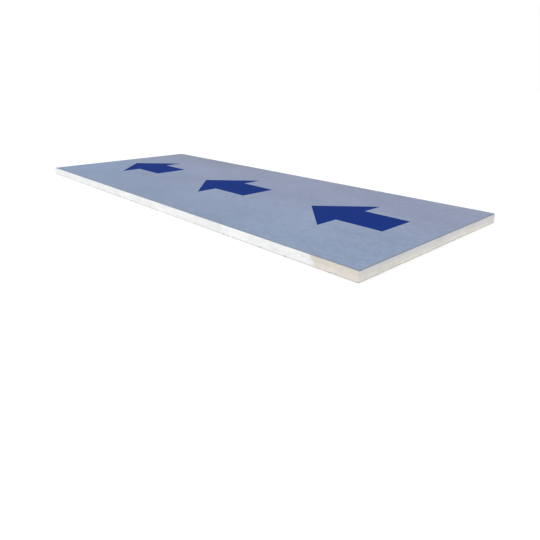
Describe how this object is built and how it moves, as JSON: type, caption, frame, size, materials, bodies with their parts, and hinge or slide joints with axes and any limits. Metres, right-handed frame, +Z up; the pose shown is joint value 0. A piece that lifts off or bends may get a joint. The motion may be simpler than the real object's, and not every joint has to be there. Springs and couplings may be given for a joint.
{
  "type": "foil faced polyiso insulation board",
  "caption": "Long flat rigid foam insulation board with a foil facer bonded on each broad face and cream foam showing at its square-cut edges.",
  "frame": {"origin": "centre of the board's underside, on the floor", "axes": "+X along the board's length, +Y across its width, +Z up through its thickness"},
  "size_m": [3.048, 1.2192, 0.0508],
  "materials": {
    "foam": "matt, cut closed-cell foam",
    "top_foil": "satin foil laminate, cool blue-grey",
    "bottom_foil": "bright foil laminate"
  },
  "bodies": {
    "root": {"foam_core": "foam", "top_facer": "top_foil", "bottom_facer": "bottom_foil"}
  },
  "joints": []
}
